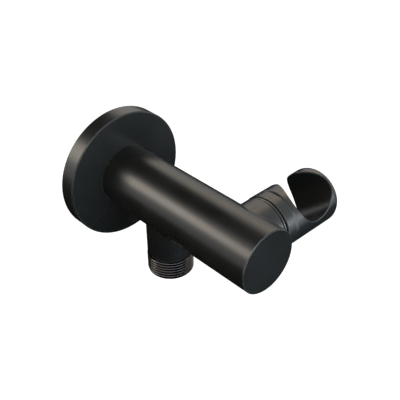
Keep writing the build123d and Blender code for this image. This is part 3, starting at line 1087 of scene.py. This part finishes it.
@dataclass(frozen=True)
class Softbox:
    """One soft lamp, placed by the direction that it shines from, its angles in degrees."""

    name: str
    azimuth: float
    elevation: float
    distance: float
    width: float
    height: float
    level: float
    tint: Colour
    roll: float = 0.0

    def hang(self, aim: Vector) -> None:
        """Hang the lamp so that it faces a point.

        Args:
            aim: The point that it faces.
        """
        lamp = bpy.data.lights.new(self.name, "AREA")
        lamp.shape = "RECTANGLE"
        lamp.size = self.width
        lamp.size_y = self.height
        lamp.energy = math.pi * self.width * self.height * self.level
        lamp.color = self.tint
        holder = bpy.data.objects.new(self.name, lamp)
        bpy.context.scene.collection.objects.link(holder)
        holder.visible_camera = False
        side, rise = math.radians(self.azimuth), math.radians(self.elevation)
        away = Vector((math.cos(rise) * math.cos(side), math.cos(rise) * math.sin(side), math.sin(rise)))
        holder.location = aim + away * self.distance
        turned = away.to_track_quat("Z", "Y") @ Quaternion((0, 0, 1), math.radians(self.roll))
        holder.rotation_euler = turned.to_euler()


@dataclass(frozen=True)
class BlackCard:
    """A card that only reflections see, as a studio uses to keep a dark side dark."""

    name: str
    middle: Triple
    facing: Triple
    width: float
    height: float

    def stand(self) -> None:
        """Stand the card in its place."""
        Workshop.clear_hands()
        bpy.ops.mesh.primitive_plane_add(size=1.0)
        card = bpy.context.object
        card.name = self.name
        turn = Vector(self.facing).to_track_quat("Z", "Y").to_matrix().to_4x4()
        size = Matrix.Diagonal((self.width, self.height, 1, 1))
        card.matrix_world = Matrix.Translation(self.middle) @ turn @ size
        material = bpy.data.materials.new(self.name)
        bench = Bench.cleared(material)
        sheet = bench.put("ShaderNodeEmission", {"Color": (0, 0, 0, 1)})
        bench.put("ShaderNodeOutputMaterial", {"Surface": sheet.outputs["Emission"]})
        card.data.materials.append(material)
        card.visible_camera = False
        card.visible_diffuse = False
        card.visible_shadow = False
        card.visible_transmission = False


@dataclass
class Studio:
    """World, floor, cards, lamps and camera, its angles in degrees."""

    floor_size: float = 6.0
    floor_place: Triple = (0.05, 0.0, -0.30)
    floor_shades: tuple[Colour, Colour] = ((0.54, 0.54, 0.54), (0.57, 0.57, 0.57))
    floor_clouds: float = 9.0
    floor_glow: float = 0.92
    aim: Triple = (0.049879, 0.005388, 0.004402)
    camera_azimuth: float = 46.906
    camera_elevation: float = 35.202
    camera_roll: float = -0.577
    camera_distance: float = 0.288628
    lens: float = 62.098
    sensor: float = 36.0
    sight: Range = (0.01, 20.0)

    def white_room(self) -> None:
        """Set up a world that is white to the camera and in reflections and lights nothing else."""
        world = bpy.data.worlds.new("white_room")
        bench = Bench.cleared(world)
        seen = bench.seen_by("Is Camera Ray", "Is Glossy Ray", "Is Transmission Ray")
        light = bench.put("ShaderNodeBackground", {"Color": (1, 1, 1, 1), "Strength": seen})
        bench.put("ShaderNodeOutputWorld", {"Surface": light.outputs["Background"]})
        bpy.context.scene.world = world

    def floor(self) -> None:
        """Lay a plain pale floor below the object, which keeps the object's soft shadow."""
        Workshop.clear_hands()
        bpy.ops.mesh.primitive_plane_add(size=self.floor_size, location=self.floor_place)
        floor = bpy.context.object
        floor.name = "studio_floor"
        material = bpy.data.materials.new("pale_floor")
        bench = Bench.cleared(material)
        spots = bench.put("ShaderNodeTexCoord").outputs["Object"]
        cloudy = bench.put("ShaderNodeTexNoise", {"Vector": spots, "Scale": self.floor_clouds, "Detail": 2.0})
        paint = bench.tint(cloudy.outputs["Fac"], *self.floor_shades)
        dull = bench.put("ShaderNodeBsdfDiffuse", {"Color": paint})
        seen = bench.seen_by("Is Camera Ray", "Is Glossy Ray")
        glow = bench.put("ShaderNodeEmission", {
            "Color": (1, 1, 1, 1), "Strength": bench.math("MULTIPLY", seen, self.floor_glow)})
        both = bench.put("ShaderNodeAddShader", {0: dull.outputs["BSDF"], 1: glow.outputs["Emission"]})
        bench.put("ShaderNodeOutputMaterial", {"Surface": both.outputs["Shader"]})
        floor.data.materials.append(material)

    def cards(self) -> None:
        """Stand up the black cards: a table below the object, one card above it and one behind it."""
        cards = (
            BlackCard("dark_table", (-0.153, 0.0, -0.142), (0, 0, 1), 1.004, 1.31),
            BlackCard("top_card", (-0.139, 0.0, 0.267), (0.57, 0, -0.82), 0.262, 0.262),
            BlackCard("back_card", (-0.218, 0.262, -0.087), (0.62, -0.74, 0.26), 0.655, 0.24),
        )
        for card in cards:
            card.stand()

    def lamps(self) -> None:
        """Hang warm soft boxes on the two sides and cool ones in front."""
        # Azimuth, elevation, distance, width, height, level, tint, roll
        boxes = (
            Softbox("side_softbox", -131, 28, 1.2, 0.66, 0.42, 7.03, (1.0, 0.895, 0.764), 22),
            Softbox("side_low_box", -137, 14, 1.2, 0.40, 0.25, 1.06, (0.95, 1.0, 0.76)),
            Softbox("back_softbox", 119, 33, 1.2, 1.00, 0.42, 1.17, (1.0, 0.794, 0.526)),
            Softbox("back_top_box", 110, 45, 1.2, 0.40, 0.30, 2.36, (1.0, 0.81, 0.537)),
            Softbox("front_softbox", 7, 10, 1.3, 1.00, 1.00, 3.87, (0.666, 0.865, 1.0)),
            Softbox("front_box", 32, 4, 1.2, 0.40, 0.40, 5.52, (0.956, 0.944, 1.0)),
            Softbox("ridge_box", -28, 24, 1.2, 0.50, 0.50, 4.46, (0.862, 1.0, 0.645)),
            Softbox("left_box", -30, -10, 1.2, 0.40, 0.30, 2.95, (0.68, 0.60, 1.0)),
            Softbox("low_box", 0, -32, 0.42, 0.16, 0.16, 5.0, (0.57, 0.729, 1.0)),
        )
        for box in boxes:
            box.hang(Vector(self.aim))

    def camera(self) -> None:
        """Stand the camera where the photograph was taken from."""
        turn, rise, roll = (math.radians(angle) for angle in (
            self.camera_azimuth, self.camera_elevation, self.camera_roll))
        back = Vector((math.sin(turn) * math.cos(rise), -math.cos(turn) * math.cos(rise), math.sin(rise)))
        right = (-back).cross(Vector((0, 0, 1))).normalized()
        up = right.cross(-back)
        across = right * math.cos(roll) + up * math.sin(roll)
        above = up * math.cos(roll) - right * math.sin(roll)
        data = bpy.data.cameras.new("photo_camera")
        data.lens = self.lens
        data.sensor_width = self.sensor
        data.clip_start, data.clip_end = self.sight
        holder = bpy.data.objects.new("photo_camera", data)
        bpy.context.scene.collection.objects.link(holder)
        columns = Matrix((across, above, back)).transposed().to_4x4()
        holder.matrix_world = Matrix.Translation(Vector(self.aim) + back * self.camera_distance) @ columns
        bpy.context.scene.camera = holder

    def build(self) -> None:
        """Set up the whole studio."""
        bpy.context.scene.view_settings.view_transform = "Standard"
        self.white_room()
        self.floor()
        self.cards()
        self.lamps()
        self.camera()


def main() -> None:
    """Dress the frame, add the cut threads and the spring, and set up the studio."""
    logging.basicConfig(level=logging.INFO, format="%(name)s: %(message)s")
    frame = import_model()
    shop = Workshop()
    wardrobe = Wardrobe()
    count = FramePieces().dress(frame["nodes"], wardrobe)
    LOG.info("dressed %d frame nodes", count)
    for assembly in (HoseOutlet(), WallInlet(), ValveSpring()):
        piece = assembly.build(shop, wardrobe)
        LOG.info("built %s with %d faces", piece.name, len(piece.data.polygons))
    Studio().build()


if __name__ == "__main__":
    main()
